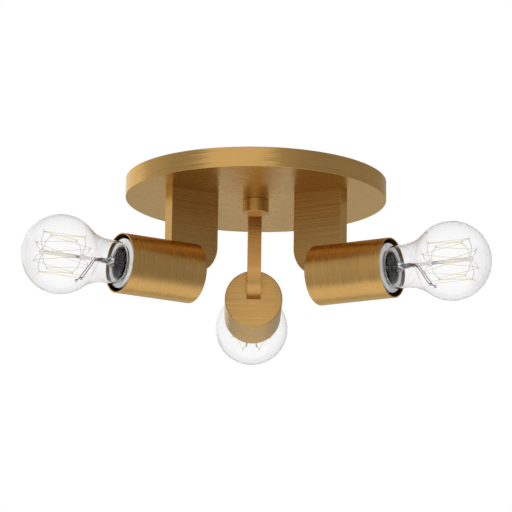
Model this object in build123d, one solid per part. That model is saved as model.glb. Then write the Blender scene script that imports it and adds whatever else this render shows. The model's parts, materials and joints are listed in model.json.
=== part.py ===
from build123d import *
import math
import os

# Semi flush ceiling light: a brushed brass pan on the ceiling, three flat arms under it and,
# on each arm, a brass cup that holds a screw-in lamp lying on its side.
# Millimetres. Origin in the middle of the ceiling face, +Z up, so the light hangs below z = 0.
# Each arm is built along +X in its own frame (X outward, Y sideways) and then turned about Z.

ARMS = {"back": 90, "left": 210, "right": 330}

# Canopy, the pan against the ceiling
CANOPY_D = 203.2
CANOPY_H = 15.3
CANOPY_WALL = 1.0
CANOPY_EDGE = 0.6
# Mounting strap and what hangs the canopy from it
STRAP_L = 110.0
STRAP_W = 20.0
STRAP_T = 2.0
SLOT_SPACING = 79.4
SLOT_L = 15.0
SLOT_W = 5.0
NIPPLE_D = 9.7
NIPPLE_BORE = 6.5
NIPPLE_BELOW_FACE = 0.3
LOCKNUT_FLATS = 14.0
LOCKNUT_T = 3.0
KNOB_D = 20.2
KNOB_H = 10.3
KNOB_HOLE = 8.0
KNOB_EDGE = 0.5
WASHER_D = 16.0
WASHER_T = 0.8
# Arms
ARM_INNER_R = 36.8
ARM_W = 40.6
ARM_T = 10.7
ARM_PAST_AXIS = 0.6
ARM_BORE_D = 6.5
ARM_SIDE_BORE_D = 6.0
BORE_FROM_EDGE = 16.4
SIDE_BORE_ABOVE_AXIS = 7.2
ARM_SCREW_FROM_EDGE = (7.7, 34.7)
ARM_SCREW_D = 4.0
ARM_SCREW_L = 12.0
ARM_SCREW_HEAD_D = 8.0
ARM_SCREW_HEAD_H = 2.4
ARM_WASHER_D = 9.0
ARM_WASHER_T = 0.8
# Cups
CUP_DROP = 65.9
CUP_SET_BACK = 18.7
CUP_D = 45.8
CUP_L = 63.5
CUP_WALL = 1.0
CUP_EDGE = 0.7
# Lamp sockets
SOCKET_GAP = 2.95
SOCKET_RECESS = 1.2
SOCKET_EDGE = 0.5
SHELL_WALL = 0.3
SHELL_RECESS = 0.9
FLOOR_BELOW_LAMP = 0.8
TONGUE_W = 5.0
TONGUE_T = 0.4
TONGUE_FOOT_L = 4.2
TONGUE_REACH = 4.0
TONGUE_TAIL_DROP = 0.9
TONGUE_POCKET = 2.5
TONGUE_BENDS = (1.0, 1.5, 1.0)
TERMINAL_OFFSET = 9.0
RIVET_D = 2.4
RIVET_HEAD_D = 4.4
RIVET_HEAD_H = 0.6
RIVET_BORE_D = 1.4
RIVET_SET_IN = 1.0
PLATE_T = 1.5
PLATE_STEM_W = 12.0
PLATE_EAR_SPAN = 22.0
PLATE_EAR_H = 8.0
PLATE_CORNER = 1.0
PLATE_LOW_SCREW_UP = 5.0
PLATE_HIGH_SCREW_FROM_CUP = 7.4
PLATE_SCREW_L = 8.0
SOCKET_SCREW_AT = (7.0, -7.5)
SMALL_SCREW_D = 3.0
SMALL_HEAD_D = 5.5
SMALL_HEAD_H = 1.8
# Lamps
LAMP_L = 107.3
GLOBE_D = 59.6
NECK_D = 32.8
NECK_CURVE = 33.8
NECK_SHOULDER = 3.6
GLASS_T = 0.7
COLLAR_L = 6.3
CAP_D = 26.1
CAP_L = 26.55
CAP_WALL = 0.3
CAP_SHELL_L = 20.65
CAP_BEVEL = 0.8
INSULATOR_NECK_D = 21.8
INSULATOR_FLANGE_T = 1.2
CONTACT_D = 9.6
CONTACT_T = 1.2
CONTACT_STEM_D = 3.0
CONTACT_STEM_L = 2.5
FLARE_L = 8.0
STEM_TUBE_D = 8.4
STEM_WALL = 0.9
PRESS = (9.0, 9.5, 3.2)
PRESS_TO_HUB = 23.0
ROD_D = 2.6
ROD_THICK_D = 3.4
HUB_D = 4.4
HUB_TO_TIP = 15.4
HUB_TO_CAP = 17.9
CAGE_R = 15.5
HOOKS = 7
HOOK_LEAN = 1.6
SUPPORT_D = 0.4
SUPPORT_HOOK = 1.5
SUPPORT_KINK_R = 10.1
SUPPORT_BENDS = (2.0, 0.25)
FILAMENT_D = 0.3
LEAD_IN_D = 0.7
LEAD_IN_Y = 2.4
LEAD_IN_BENDS = (3.0, 6.0, 1.5, 0.5)
LEAD_IN_STRAIGHT = 5.0
LEAD_IN_FROM_CAP = (4.0, 1.0)
LEAD_IN_ALONG_CAP = (8.0, 2.2)
LEAD_IN_PAST_PRESS = 3.0
LEAD_IN_SET_BACK = 1.2
LEAD_IN_TIP = (0.6, 0.4)
# Wiring
LEAD_D = 2.0
LEAD_CORE_D = 1.0
RIVET_CORE_L = 5.0
BLOCK_CORE_L = 8.0
LEAD_PAIR_Y = 1.4
LEAD_TURN_R = 4.0
LEAD_INTO_BLOCK = 3.0
LEAD_STRAIGHT_OUT = 4.0
LEAD_BEND_BEFORE_PLATE = 6.5
LEAD_LAYER_GAP = 0.7
LEAD_OFF_FLOOR = 1.2
BLOCK_SIZE = (34.0, 18.0)
BLOCK_AT_Y = -61.0
BLOCK_CORNER = 1.0
BLOCK_PITCH = 4.0
BLOCK_HOLE_D = 3.0
BLOCK_HOLE_L = 14.0
BLOCK_HOLE_UP = 5.3
BLOCK_SCREW_D = 2.5
BUSHING_D = 8.0
BUSHING_FLANGE_D = 10.0
BUSHING_BORE = 6.0
EARTH_AT = (26.0, -16.0)
EARTH_SCREW_D = 4.0
EARTH_STUD_L = 5.0
EARTH_NUT_D = 7.0
EARTH_NUT_H = 2.4
EARTH_HEAD_H = 1.6
EARTH_RING_D = 8.0
EARTH_RING_T = 0.8

# Clearances
SCREW_FIT = 0.05
SHELL_FIT = 0.05
SLOT_CLEAR = 0.1
HOLE_CLEAR = 0.4
LAMP_CLEAR = 0.35
CEMENT_GAP = 0.15
TURN_GAP = 0.1
CONTACT_GAP = 0.2
TONGUE_GAP = 0.3
SOLDER_GAP = 0.3
KNOB_GAP = 0.1
WIRE_GAP = 0.1
THREAD_END_GAP = 1.0
POCKET_GAP = 0.6
HEAD_GAP = 0.5
COLLAR_GAP = 0.75
BLOCK_HEADROOM = 2.5

# Places that follow from the sizes above
FLOOR_Z = -CANOPY_H + CANOPY_WALL
BELOW_Z = -CANOPY_H
AXIS_Z = BELOW_Z - CUP_DROP
ARM_OUTER_R = ARM_INNER_R + ARM_W
ARM_BOTTOM_Z = AXIS_Z - ARM_PAST_AXIS
BORE_X = ARM_OUTER_R - BORE_FROM_EDGE
SIDE_BORE_Z = AXIS_Z + SIDE_BORE_ABOVE_AXIS
CUP_X = ARM_INNER_R + CUP_SET_BACK
MOUTH_X = CUP_X + CUP_L
PLATE_X = ARM_OUTER_R
PLATE_SCREWS_UP = (PLATE_LOW_SCREW_UP, CUP_D / 2 - CUP_WALL - PLATE_HIGH_SCREW_FROM_CUP)
SOCKET_BACK_X = PLATE_X + PLATE_T
SOCKET_FACE_X = MOUTH_X - SOCKET_RECESS
SOCKET_D = CUP_D - 2 * CUP_WALL - 2 * SOCKET_GAP
SHELL_ID = CAP_D + 2 * LAMP_CLEAR
SHELL_OD = SHELL_ID + 2 * SHELL_WALL
SOCKET_BORE_D = SHELL_OD + 2 * SHELL_FIT
CAP_RIM_X = SOCKET_FACE_X
LAMP_X = CAP_RIM_X - CAP_L
GLOBE_X = LAMP_X + LAMP_L - GLOBE_D / 2
SOCKET_FLOOR_X = LAMP_X - FLOOR_BELOW_LAMP
POCKET_X = SOCKET_FLOOR_X - TONGUE_POCKET
TERMINAL_X = SOCKET_BACK_X + RIVET_SET_IN
TONGUE_FOOT_X = POCKET_X + TONGUE_GAP + TONGUE_T / 2
TONGUE_TOP_X = LAMP_X - CONTACT_GAP - TONGUE_T / 2
CAP_END_X = CAP_RIM_X - CAP_SHELL_L
TIP_HUB_X = GLOBE_X + HUB_TO_TIP
CAP_HUB_X = GLOBE_X - HUB_TO_CAP
PRESS_X = CAP_HUB_X - PRESS_TO_HUB
PRESS_END_X = PRESS_X + PRESS[0]
NECK_CENTRE_R = NECK_D / 2 + NECK_CURVE
NECK_CENTRE_X = GLOBE_X - math.sqrt((GLOBE_D / 2 + NECK_CURVE)**2 - NECK_CENTRE_R**2)
COLLAR_D = CAP_D - 2 * CAP_WALL - 2 * CEMENT_GAP
COLLAR_END_X = CAP_RIM_X - COLLAR_L
SHOULDER_X = CAP_RIM_X + COLLAR_GAP
HOOK_STEP = 360 / HOOKS
TIP_HOOKS = [-90 + HOOK_STEP * (0.5 + k) for k in range(HOOKS)]
CAP_HOOKS = [-90 + HOOK_STEP * (1 + k) for k in range(HOOKS - 1)]
LEAD_IN_ANGLE = HOOK_STEP / 4
LEAD_IN_R = CAGE_R + 1.2
ARM_SCREW_XS = [ARM_INNER_R + distance for distance in ARM_SCREW_FROM_EDGE]
WASHER_TOP_Z = FLOOR_Z + ARM_WASHER_T
BLOCK_TOP_Z = -STRAP_T - BLOCK_HEADROOM
BLOCK_HOLE_Z = FLOOR_Z + BLOCK_HOLE_UP
BLOCK_FRONT_Y = BLOCK_AT_Y + BLOCK_SIZE[1] / 2
BLOCK_HOLES_X = [BLOCK_PITCH * step for step in (-3, -2, -1, 1, 2, 3)]
LOW_Z = FLOOR_Z + LEAD_D / 2 + LEAD_OFF_FLOOR
MIDDLE_Z = LOW_Z + LEAD_D + LEAD_LAYER_GAP
HIGH_Z = MIDDLE_Z + LEAD_D + LEAD_LAYER_GAP
TURN_Z = FLOOR_Z + CANOPY_WALL + LEAD_TURN_R


def along_x(x0, x1, diameter, y=0.0, z=0.0):
    """Round bar from x0 to x1."""
    return Pos((x0 + x1) / 2, y, z) * Rot(0, 90, 0) * Cylinder(diameter / 2, x1 - x0)


def upright(z0, z1, diameter, x=0.0, y=0.0):
    """Round bar from z0 up to z1."""
    return Pos(x, y, (z0 + z1) / 2) * Cylinder(diameter / 2, z1 - z0)


def box(x, y, z):
    """Box between two limits on each axis."""
    middle = [(low + high) / 2 for low, high in (x, y, z)]
    return Pos(*middle) * Box(x[1] - x[0], y[1] - y[0], z[1] - z[0])


def turned_about_x(outline):
    """Ring or disc on the cup's axis, from an outline of (x, radius) points."""
    face = make_face(Polyline(*outline, close=True))
    return Pos(0, 0, AXIS_Z) * revolve(face, Axis.X)


def turned_about_z(outline):
    """Ring or disc on the fitting's axis, from an outline of (radius, z) points."""
    face = Plane.XZ * make_face(Polyline(*outline, close=True))
    return revolve(face, Axis.Z)


def tube_along(points, radii, diameter, cores=(0.0, 0.0)):
    """Round wire along straight runs joined by arcs, with a thinner bare core at either end."""
    path = FilletPolyline(*points, radius=radii)
    start = Plane(origin=path @ 0, z_dir=path % 0)
    wire = sweep(start * Circle(diameter / 2), path=path)
    expected = math.pi * diameter**2 / 4 * path.length
    print(f"wire {diameter} x {path.length:.1f}: volume {wire.volume / expected:.4f} of expected, radii",
          [round(r, 2) for r in radii])
    for place, out, length in ((path @ 0, path % 0 * -1, cores[0]), (path @ 1, path % 1, cores[1])):
        if length > 0:
            wire += extrude(Plane(origin=place, z_dir=out) * Circle(LEAD_CORE_D / 2), length)
    return wire


def gentle_radii(points, share=0.45):
    """Largest arcs that the runs on both sides of each corner allow."""
    radii = []
    for before, corner, after in zip(points, points[1:], points[2:]):
        run_in = Vector(*corner) - Vector(*before)
        run_out = Vector(*after) - Vector(*corner)
        half_turn = math.radians(run_in.get_angle(run_out)) / 2
        radii.append(share * min(run_in.length, run_out.length) / math.tan(half_turn))
    return radii


def pan_screw(top, shank_length, shank_d, head_d, head_h):
    """Pan head screw standing on z = top, shank down, with a cross recess in its head."""
    head = fillet(upright(top, top + head_h, head_d).edges().group_by(Axis.Z)[-1], head_h * 0.4)
    shank = upright(top - shank_length, top, shank_d)
    cross = box((-head_d * 0.3, head_d * 0.3), (-head_h * 0.15, head_h * 0.15),
                (top + head_h * 0.5, top + head_h))
    return head + shank - cross - Rot(0, 0, 90) * cross


def screw_towards_back(x_seat, shank_length, y, z):
    """Small pan head screw whose head sits on x = x_seat and whose shank points to -X."""
    screw = pan_screw(0, shank_length, SMALL_SCREW_D, SMALL_HEAD_D, SMALL_HEAD_H)
    return Pos(x_seat, y, z) * Rot(0, 90, 0) * screw


# --- what the three arms share -------------------------------------------------------------

def canopy():
    pan = turned_about_z([
        (0, BELOW_Z), (CANOPY_D / 2, BELOW_Z), (CANOPY_D / 2, 0), (CANOPY_D / 2 - CANOPY_WALL, 0),
        (CANOPY_D / 2 - CANOPY_WALL, FLOOR_Z), (0, FLOOR_Z)])
    rim = pan.edges().filter_by(GeomType.CIRCLE).group_by(Axis.Z)[0]
    pan = fillet(rim, CANOPY_EDGE)
    pan -= upright(BELOW_Z, FLOOR_Z, NIPPLE_D + 2 * HOLE_CLEAR)
    for angle in ARMS.values():
        for x in ARM_SCREW_XS:
            pan -= Rot(0, 0, angle) * upright(BELOW_Z, FLOOR_Z, ARM_SCREW_D + 2 * HOLE_CLEAR, x)
        pan -= Rot(0, 0, angle) * upright(BELOW_Z, FLOOR_Z, BUSHING_D + 2 * SLOT_CLEAR, BORE_X)
    return pan


def mounting_strap():
    strap = box((-STRAP_L / 2, STRAP_L / 2), (-STRAP_W / 2, STRAP_W / 2), (-STRAP_T, 0))
    strap = fillet(strap.edges().filter_by(Axis.Z), STRAP_W / 4)
    for side in (-1, 1):
        slot = SlotOverall(SLOT_L, SLOT_W)
        strap -= Pos(side * SLOT_SPACING / 2, 0, -STRAP_T) * extrude(slot, STRAP_T)
    strap -= upright(-STRAP_T, 0, NIPPLE_D + 2 * SCREW_FIT)
    strap -= upright(-STRAP_T, 0, EARTH_SCREW_D + 2 * SCREW_FIT, EARTH_AT[0], 0)
    return strap


def nipple():
    bottom = BELOW_Z - KNOB_HOLE + THREAD_END_GAP
    return (upright(bottom, -NIPPLE_BELOW_FACE, NIPPLE_D)
            - upright(bottom, -NIPPLE_BELOW_FACE, NIPPLE_BORE))


def locknut():
    across_corners = LOCKNUT_FLATS / math.cos(math.pi / 6)
    hexagon = RegularPolygon(across_corners / 2, 6)
    nut = Pos(0, 0, -STRAP_T - LOCKNUT_T) * extrude(hexagon, LOCKNUT_T)
    return nut - upright(-STRAP_T - LOCKNUT_T, -STRAP_T, NIPPLE_D + 2 * SCREW_FIT)


def knob():
    top = BELOW_Z - KNOB_GAP
    body = upright(BELOW_Z - KNOB_H, top, KNOB_D)
    body = fillet(body.edges().group_by(Axis.Z)[0], KNOB_EDGE)
    body -= upright(BELOW_Z - KNOB_HOLE, top, NIPPLE_D + 2 * TURN_GAP)
    return body - upright(top - WASHER_T - TURN_GAP, top, WASHER_D + 2 * TURN_GAP)


def knob_washer():
    top = BELOW_Z - KNOB_GAP
    ring = upright(top - WASHER_T, top, WASHER_D)
    return ring - upright(top - WASHER_T, top, NIPPLE_D + 2 * HOLE_CLEAR)


def arm_screws(angle):
    screw = pan_screw(WASHER_TOP_Z, ARM_SCREW_L, ARM_SCREW_D, ARM_SCREW_HEAD_D, ARM_SCREW_HEAD_H)
    return [Rot(0, 0, angle) * Pos(x, 0, 0) * screw for x in ARM_SCREW_XS]


def arm_washers(angle):
    washer = upright(FLOOR_Z, WASHER_TOP_Z, ARM_WASHER_D)
    washer -= upright(FLOOR_Z, WASHER_TOP_Z, ARM_SCREW_D + 2 * SCREW_FIT)
    return [Rot(0, 0, angle) * Pos(x, 0, 0) * washer for x in ARM_SCREW_XS]


def wire_bushing(angle):
    bushing = upright(BELOW_Z, FLOOR_Z, BUSHING_D, BORE_X)
    bushing += upright(FLOOR_Z, FLOOR_Z + CANOPY_WALL, BUSHING_FLANGE_D, BORE_X)
    bushing -= upright(BELOW_Z, FLOOR_Z + CANOPY_WALL, BUSHING_BORE, BORE_X)
    return Rot(0, 0, angle) * bushing


def terminal_block():
    """Block with the live holes on its left half and the neutral holes on its right half."""
    length, width = BLOCK_SIZE
    body = box((-length / 2, length / 2), (BLOCK_AT_Y - width / 2, BLOCK_FRONT_Y),
               (FLOOR_Z, BLOCK_TOP_Z))
    body = fillet(body.edges().filter_by(Axis.Z), BLOCK_CORNER)
    for x in BLOCK_HOLES_X:
        hole = Rot(90, 0, 0) * Cylinder(BLOCK_HOLE_D / 2, BLOCK_HOLE_L)
        body -= Pos(x, BLOCK_FRONT_Y - BLOCK_HOLE_L / 2, BLOCK_HOLE_Z) * hole
        body -= upright(BLOCK_HOLE_Z, BLOCK_TOP_Z, BLOCK_SCREW_D + 2 * SCREW_FIT, x, BLOCK_AT_Y)
    return body


def terminal_screws():
    screws = []
    for x in BLOCK_HOLES_X:
        tip = BLOCK_HOLE_Z + LEAD_CORE_D / 2 + WIRE_GAP
        head = BLOCK_TOP_Z - HEAD_GAP
        screw = upright(tip, head, BLOCK_SCREW_D, x, BLOCK_AT_Y)
        slot = box((x - BLOCK_SCREW_D, x + BLOCK_SCREW_D),
                   (BLOCK_AT_Y - BLOCK_SCREW_D / 10, BLOCK_AT_Y + BLOCK_SCREW_D / 10),
                   (head - BLOCK_SCREW_D / 4, head))
        screws.append(screw - slot)
    return screws


# --- one arm with its cup and socket, along +X ---------------------------------------------

def arm_blank(grow=0.0):
    """The arm's bar with its rounded lower corner, grown all round by a clearance."""
    x0, x1 = ARM_INNER_R - grow, ARM_OUTER_R + grow
    z0 = ARM_BOTTOM_Z - grow
    bar = box((x0, x1), (-ARM_T / 2 - grow, ARM_T / 2 + grow), (z0, BELOW_Z))
    corner = bar.edges().filter_by(Axis.Y).sort_by(lambda e: e.center().X + e.center().Z)[0]
    return fillet(corner, CUP_D / 2 + grow)


def arm():
    bar = arm_blank()
    bar -= upright(SIDE_BORE_Z, BELOW_Z, ARM_BORE_D, BORE_X)
    side_bore = Rot(90, 0, 0) * Cylinder(ARM_SIDE_BORE_D / 2, ARM_T)
    bar -= Pos(BORE_X, 0, SIDE_BORE_Z) * side_bore
    screw_bottom = WASHER_TOP_Z - ARM_SCREW_L - THREAD_END_GAP
    for x in ARM_SCREW_XS:
        bar -= upright(screw_bottom, BELOW_Z, ARM_SCREW_D + 2 * SCREW_FIT, x)
    for up in PLATE_SCREWS_UP:
        bar -= along_x(ARM_OUTER_R - PLATE_SCREW_L + PLATE_T - THREAD_END_GAP, ARM_OUTER_R,
                       SMALL_SCREW_D + 2 * SCREW_FIT, z=AXIS_Z + up)
    return bar


def cup():
    outer, inner = CUP_D / 2, CUP_D / 2 - CUP_WALL
    shell = turned_about_x([
        (CUP_X, 0), (CUP_X, outer), (MOUTH_X, outer), (MOUTH_X, inner),
        (CUP_X + CUP_WALL, inner), (CUP_X + CUP_WALL, 0)])
    back_edge = shell.edges().filter_by(GeomType.CIRCLE).group_by(Axis.X)[0]
    return fillet(back_edge, CUP_EDGE) - arm_blank(SLOT_CLEAR)


def socket_body():
    """Porcelain barrel: deep bore for the screw shell, pocket for the contact tongue."""
    barrel = turned_about_x([
        (SOCKET_BACK_X, 0), (SOCKET_BACK_X, SOCKET_D / 2), (SOCKET_FACE_X, SOCKET_D / 2),
        (SOCKET_FACE_X, SOCKET_BORE_D / 2), (SOCKET_FLOOR_X, SOCKET_BORE_D / 2),
        (SOCKET_FLOOR_X, 0)])
    rims = barrel.edges().filter_by(GeomType.CIRCLE).group_by(Axis.X)
    barrel = fillet(rims[-1], SOCKET_EDGE)
    pocket_half = TONGUE_W / 2 + POCKET_GAP
    barrel -= box((POCKET_X, SOCKET_FLOOR_X),
                  (-TONGUE_REACH - 3 * POCKET_GAP, TERMINAL_OFFSET + TONGUE_FOOT_L / 2 + POCKET_GAP),
                  (AXIS_Z - pocket_half, AXIS_Z + pocket_half))
    for side in (-1, 1):
        y = side * TERMINAL_OFFSET
        barrel -= along_x(SOCKET_BACK_X, SOCKET_FLOOR_X, RIVET_D + 2 * SCREW_FIT, y, AXIS_Z)
        barrel -= along_x(SOCKET_BACK_X, TERMINAL_X + RIVET_SET_IN, LEAD_D + 2 * HOLE_CLEAR,
                          y, AXIS_Z)
        y, up = side * SOCKET_SCREW_AT[0], SOCKET_SCREW_AT[1]
        barrel -= along_x(SOCKET_BACK_X, SOCKET_FLOOR_X, SMALL_SCREW_D + 2 * HOLE_CLEAR,
                          y, AXIS_Z + up)
    pocket_low = AXIS_Z + PLATE_LOW_SCREW_UP - SMALL_HEAD_D / 2 - HOLE_CLEAR
    pocket_side = SMALL_HEAD_D / 2 + HOLE_CLEAR
    barrel -= box((SOCKET_BACK_X, SOCKET_BACK_X + SMALL_HEAD_H + HEAD_GAP),
                  (-pocket_side, pocket_side), (pocket_low, AXIS_Z + SOCKET_D / 2))
    return barrel


def screw_shell():
    """Thin metal lining with a foot that its rivet clamps to the porcelain's floor."""
    front = SOCKET_FACE_X - SHELL_RECESS
    tube = turned_about_x([
        (SOCKET_FLOOR_X, SHELL_ID / 2), (SOCKET_FLOOR_X, SHELL_OD / 2),
        (front, SHELL_OD / 2), (front, SHELL_ID / 2)])
    foot = box((SOCKET_FLOOR_X, SOCKET_FLOOR_X + SHELL_WALL),
               (-SHELL_ID / 2 - SHELL_WALL / 2, -TERMINAL_OFFSET + TONGUE_FOOT_L / 2),
               (AXIS_Z - TONGUE_W / 2, AXIS_Z + TONGUE_W / 2))
    foot &= turned_about_x([
        (SOCKET_FLOOR_X, 0), (SOCKET_FLOOR_X, SHELL_OD / 2),
        (front, SHELL_OD / 2), (front, 0)])
    return tube + foot - along_x(SOCKET_FLOOR_X, SOCKET_FLOOR_X + SHELL_WALL,
                                 RIVET_D + 2 * SCREW_FIT, -TERMINAL_OFFSET, AXIS_Z)


def contact_tongue():
    """Springy strip from its riveted foot up to the lamp's centre contact."""
    line = FilletPolyline(
        (TONGUE_FOOT_X, TERMINAL_OFFSET + TONGUE_FOOT_L / 2),
        (TONGUE_FOOT_X, TERMINAL_OFFSET - TONGUE_FOOT_L / 2),
        (TONGUE_TOP_X, TONGUE_REACH * 0.2), (TONGUE_TOP_X, -TONGUE_REACH * 0.4),
        (TONGUE_TOP_X - TONGUE_TAIL_DROP, -TONGUE_REACH), radius=list(TONGUE_BENDS))
    strip = extrude(trace(line, TONGUE_T), TONGUE_W / 2, both=True)
    hole = along_x(POCKET_X, SOCKET_FLOOR_X, RIVET_D + 2 * HOLE_CLEAR, TERMINAL_OFFSET)
    return Pos(0, 0, AXIS_Z) * (strip - hole)


def socket_rivets():
    """Tubular rivets: heads on the metal inside, crimped round the leads' cores behind."""
    rivets = []
    for side, seat in ((1, TONGUE_FOOT_X + TONGUE_T / 2 + TONGUE_GAP),
                       (-1, SOCKET_FLOOR_X + SHELL_WALL)):
        y = side * TERMINAL_OFFSET
        rivet = along_x(TERMINAL_X, seat, RIVET_D, y, AXIS_Z)
        rivet += along_x(seat, seat + RIVET_HEAD_H, RIVET_HEAD_D, y, AXIS_Z)
        bore_end = TERMINAL_X + RIVET_CORE_L + SCREW_FIT
        rivets.append(rivet - along_x(TERMINAL_X, bore_end, RIVET_BORE_D, y, AXIS_Z))
    return rivets


def socket_bracket():
    """Steel T plate: its stem is screwed to the arm's edge, its ears carry the socket."""
    ear_top = AXIS_Z + SOCKET_SCREW_AT[1] + PLATE_EAR_H / 2
    ear_bottom = ear_top - PLATE_EAR_H
    x = (PLATE_X, PLATE_X + PLATE_T)
    stem_top = AXIS_Z + max(PLATE_SCREWS_UP) + SMALL_HEAD_D / 2 + HEAD_GAP
    plate = box(x, (-PLATE_STEM_W / 2, PLATE_STEM_W / 2), (ear_bottom, stem_top))
    plate += box(x, (-PLATE_EAR_SPAN / 2, PLATE_EAR_SPAN / 2), (ear_bottom, ear_top))
    plate = fillet(plate.edges().filter_by(Axis.X), PLATE_CORNER)
    for up in PLATE_SCREWS_UP:
        plate -= along_x(*x, SMALL_SCREW_D + 2 * HOLE_CLEAR, z=AXIS_Z + up)
    for side in (-1, 1):
        plate -= along_x(*x, SMALL_SCREW_D + 2 * SCREW_FIT, side * SOCKET_SCREW_AT[0],
                         AXIS_Z + SOCKET_SCREW_AT[1])
    return plate


def bracket_screws():
    return [screw_towards_back(PLATE_X + PLATE_T, PLATE_SCREW_L, 0, AXIS_Z + up)
            for up in PLATE_SCREWS_UP]


def socket_screws():
    length = SOCKET_FLOOR_X - PLATE_X + PLATE_T
    y, up = SOCKET_SCREW_AT
    return [screw_towards_back(SOCKET_FLOOR_X, length, side * y, AXIS_Z + up) for side in (-1, 1)]


# --- one lamp, along +X --------------------------------------------------------------------

def glass_outline(inset):
    """Half outline of the envelope from its tip to its collar: globe, hollow curve, neck, shoulder."""
    globe_r = GLOBE_D / 2 - inset
    neck_r = NECK_D / 2 - inset
    curve_r = NECK_CURVE + inset
    joint = math.degrees(math.atan2(NECK_CENTRE_R, NECK_CENTRE_X - GLOBE_X))
    shoulder_r = NECK_SHOULDER - inset
    corner_x = SHOULDER_X + NECK_SHOULDER
    collar_r = COLLAR_D / 2 - inset
    return [
        CenterArc((GLOBE_X, 0), globe_r, 0, joint),
        CenterArc((NECK_CENTRE_X, NECK_CENTRE_R), curve_r, joint - 180, 90 - joint),
        Line((NECK_CENTRE_X, neck_r), (corner_x, neck_r)),
        CenterArc((corner_x, neck_r - shoulder_r), shoulder_r, 90, 90),
        Polyline((SHOULDER_X + inset, neck_r - shoulder_r), (SHOULDER_X + inset, collar_r),
                 (COLLAR_END_X, collar_r)),
    ]


def lamp_glass():
    outer = glass_outline(0)
    inner = glass_outline(GLASS_T)
    ends = [
        Line((COLLAR_END_X, COLLAR_D / 2), (COLLAR_END_X, COLLAR_D / 2 - GLASS_T)),
        Line((GLOBE_X + GLOBE_D / 2, 0), (GLOBE_X + GLOBE_D / 2 - GLASS_T, 0)),
    ]
    return Pos(0, 0, AXIS_Z) * revolve(make_face(outer + inner + ends), Axis.X)


def lamp_cap():
    outer, inner = CAP_D / 2, CAP_D / 2 - CAP_WALL
    hole = INSULATOR_NECK_D / 2 + TURN_GAP
    return turned_about_x([
        (CAP_END_X, hole), (CAP_END_X, outer - CAP_BEVEL), (CAP_END_X + CAP_BEVEL, outer),
        (CAP_RIM_X, outer), (CAP_RIM_X, inner), (CAP_END_X + CAP_BEVEL + CAP_WALL / 2, inner),
        (CAP_END_X + CAP_WALL, outer - CAP_BEVEL - CAP_WALL / 2), (CAP_END_X + CAP_WALL, hole)])


def lamp_insulator():
    """Black glass cone between the cap and the centre contact, flanged inside the cap."""
    seat = LAMP_X + CONTACT_T + SCREW_FIT
    neck = INSULATOR_NECK_D / 2
    flange = CAP_END_X + CAP_WALL + TURN_GAP
    flange_r = CAP_D / 2 - CAP_WALL - CAP_BEVEL - 2 * TURN_GAP
    bore = CONTACT_STEM_D / 2 + SCREW_FIT
    end = flange + INSULATOR_FLANGE_T
    return turned_about_x([
        (seat, bore), (seat, CONTACT_D / 2), (CAP_END_X, neck), (flange, neck),
        (flange, flange_r), (end, flange_r), (end, bore)])


def lamp_contact():
    edge = CONTACT_D / 2
    back = LAMP_X + CONTACT_T
    stem_r, stem_end = CONTACT_STEM_D / 2, back + CONTACT_STEM_L
    return turned_about_x([
        (LAMP_X, 0), (LAMP_X, edge - CONTACT_T), (LAMP_X + CONTACT_T / 2, edge), (back, edge),
        (back, stem_r), (stem_end, stem_r), (stem_end, 0)])


def lamp_stem():
    """Glass inside the lamp: flare, tube, flat press, rod and the two hubs of the cage."""
    flare_x = CAP_RIM_X - COLLAR_L + 2 * COLLAR_GAP
    flare_r = COLLAR_D / 2 - GLASS_T - WIRE_GAP
    flare_end = flare_x + FLARE_L
    tube_r = STEM_TUBE_D / 2
    stem = turned_about_x([
        (flare_x, flare_r), (flare_x + FLARE_L * 0.7, tube_r + STEM_WALL), (flare_end, tube_r),
        (PRESS_X, tube_r), (PRESS_X, tube_r - STEM_WALL), (flare_end, tube_r - STEM_WALL),
        (flare_x + FLARE_L * 0.6, tube_r), (flare_x, flare_r - STEM_WALL)])
    width, height = PRESS[1:]
    press = box((PRESS_X, PRESS_END_X), (-width / 2, width / 2),
                (AXIS_Z - height / 2, AXIS_Z + height / 2))
    stem += fillet(press.edges().filter_by(Axis.X), height * 0.45)
    middle = (TIP_HUB_X + CAP_HUB_X) / 2
    stem += turned_about_x([
        (PRESS_END_X, 0), (PRESS_END_X, ROD_D / 2), (middle, ROD_D / 2),
        (middle + ROD_THICK_D, ROD_THICK_D / 2), (TIP_HUB_X, ROD_THICK_D / 2), (TIP_HUB_X, 0)])
    stem += Pos(TIP_HUB_X, 0, AXIS_Z) * Sphere(HUB_D / 2)
    stem += along_x(CAP_HUB_X - HUB_D / 4, CAP_HUB_X + HUB_D / 4, HUB_D, z=AXIS_Z)
    for side in (-1, 1):
        stem -= along_x(PRESS_X, PRESS_END_X, LEAD_IN_D + 2 * WIRE_GAP, side * LEAD_IN_Y, AXIS_Z)
    return stem


def around(x, radius, angle, sideways=0.0):
    """Point at a radius and angle round the lamp's axis, straight down at -90 degrees."""
    turn = math.radians(angle)
    return (x, radius * math.cos(turn) - sideways * math.sin(turn),
            AXIS_Z + radius * math.sin(turn) + sideways * math.cos(turn))


def lamp_supports():
    """Molybdenum wires from the hubs, each bent to a hook that the filament lies in."""
    wires = []
    for hub_x, inward, angles in ((TIP_HUB_X, -1, TIP_HOOKS), (CAP_HUB_X, 1, CAP_HOOKS)):
        for angle in angles:
            points = [
                around(hub_x, HUB_D / 2 + SCREW_FIT, angle),
                around(hub_x - inward * HOOK_LEAN / 2, SUPPORT_KINK_R, angle),
                around(hub_x + inward * HOOK_LEAN, CAGE_R, angle),
                around(hub_x + inward * (HOOK_LEAN - SUPPORT_HOOK), CAGE_R + SUPPORT_HOOK, angle)]
            path = FilletPolyline(*points, radius=list(SUPPORT_BENDS))
            start = Plane(origin=path @ 0, z_dir=path % 0)
            wires.append(sweep(start * Circle(SUPPORT_D / 2), path=path))
    return wires


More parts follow.
